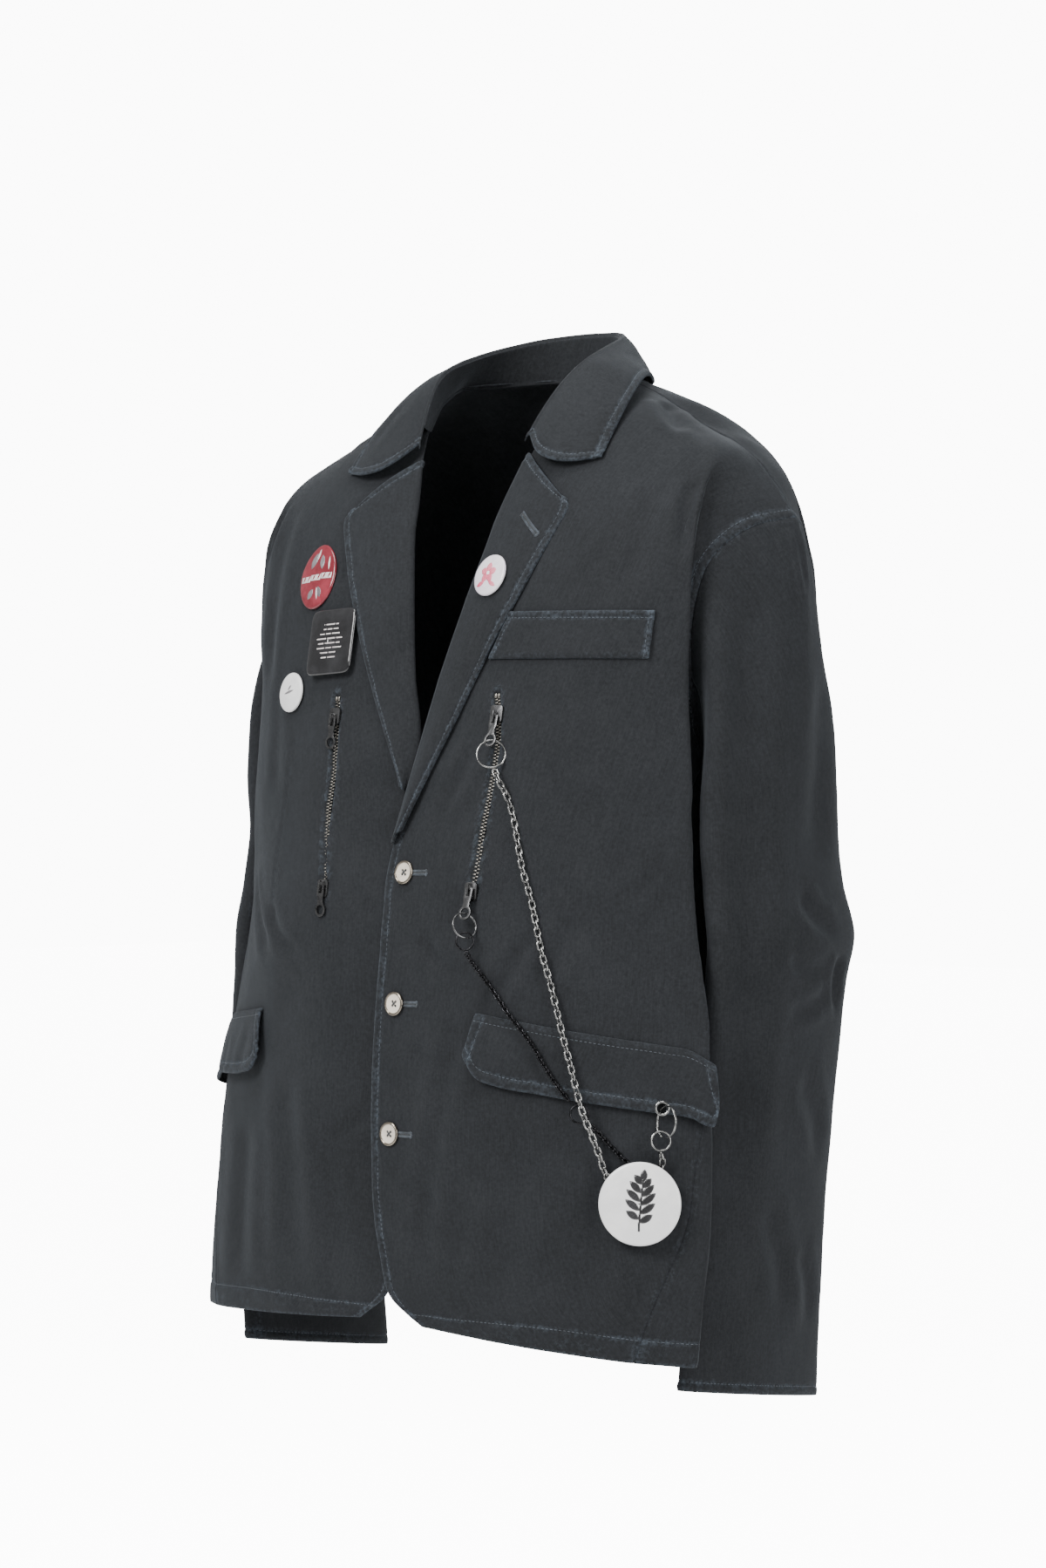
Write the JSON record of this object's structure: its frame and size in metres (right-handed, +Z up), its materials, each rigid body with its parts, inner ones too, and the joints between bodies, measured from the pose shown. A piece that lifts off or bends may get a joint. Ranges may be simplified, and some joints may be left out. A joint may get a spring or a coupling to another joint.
{
  "type": "tailored jacket",
  "caption": "Worn-form notch-lapel tailored jacket, hollow and open at neck, hem and cuffs, with chest zips, flap pockets, hung chains and badges.",
  "frame": {"origin": "middle of the neck opening, where the wearer's shoulders and neck carry the jacket", "axes": "+Z up towards the collar, -Y out of the front, +X to the wearer's left"},
  "size_m": [0.5137, 0.2914, 0.7857],
  "materials": {
    "charcoal_twill": "washed cotton twill, matt with a soft sheen",
    "antique_metal": "darkened zip metal",
    "pale_button": "pale dished face with a metallic rim",
    "silver_metal": "polished",
    "black_metal": "black plated",
    "pale_pink_badge": "glossy",
    "white_badge": "glossy",
    "black_badge": "glossy",
    "dark_red_badge": "glossy"
  },
  "bodies": {
    "jacket": {"back_left": "charcoal_twill", "back_right": "charcoal_twill", "badge_lapel": "pale_pink_badge", "badge_large": "white_badge", "badge_lobed": "dark_red_badge", "badge_plate": "black_badge", "badge_small": "white_badge", "breast_welt": "charcoal_twill", "button_1": "pale_button", "button_2": "pale_button", "button_3": "pale_button", "chain_black_lower": "black_metal", "chain_black_upper": "black_metal", "chain_silver": "silver_metal", "collar_leaf": "charcoal_twill", "collar_stand": "charcoal_twill", "eyelet": "silver_metal", "flap_left": "charcoal_twill", "flap_right": "charcoal_twill", "front_left": "charcoal_twill", "front_right": "charcoal_twill", "lapel_left": "charcoal_twill", "lapel_right": "charcoal_twill", "ring_black_lower": "black_metal", "ring_eyelet": "silver_metal", "ring_side": "silver_metal", "side_panel_left": "charcoal_twill", "side_panel_right": "charcoal_twill", "sleeve_top_left": "charcoal_twill", "sleeve_top_right": "charcoal_twill", "sleeve_under_left": "charcoal_twill", "sleeve_under_right": "charcoal_twill", "zip_left": "antique_metal", "zip_right": "antique_metal", "zip_slider_left_bottom": "antique_metal", "zip_slider_left_top": "antique_metal", "zip_slider_right_bottom": "antique_metal", "zip_slider_right_top": "antique_metal"},
    "left_top_pull": {"zip_pull_left_top": "antique_metal", "ring_top_pull": "silver_metal"},
    "left_bottom_pull": {"zip_pull_left_bottom": "antique_metal", "ring_split_pull": "silver_metal", "ring_black_upper": "black_metal"},
    "right_top_pull": {"zip_pull_right_top": "antique_metal"},
    "right_bottom_pull": {"zip_pull_right_bottom": "antique_metal"}
  },
  "joints": [
    {"name": "left_top_swing", "type": "hinge", "parent": "jacket", "child": "left_top_pull", "pos_m": [0.07438, -0.1204, -0.2169], "axis": [-0.9986, -0.0535, 0], "range_deg": [0, 8]},
    {"name": "left_bottom_swing", "type": "hinge", "parent": "jacket", "child": "left_bottom_pull", "pos_m": [0.06765, -0.14003, -0.33939], "axis": [-0.9983, -0.0591, 0], "range_deg": [0, 8]},
    {"name": "right_top_swing", "type": "hinge", "parent": "jacket", "child": "right_top_pull", "pos_m": [-0.08262, -0.12, -0.2169], "axis": [-0.9977, 0.0677, 0], "range_deg": [0, 150]},
    {"name": "right_bottom_swing", "type": "hinge", "parent": "jacket", "child": "right_bottom_pull", "pos_m": [-0.07663, -0.13895, -0.33941], "axis": [-0.9968, 0.0794, 0], "range_deg": [0, 150]}
  ]
}
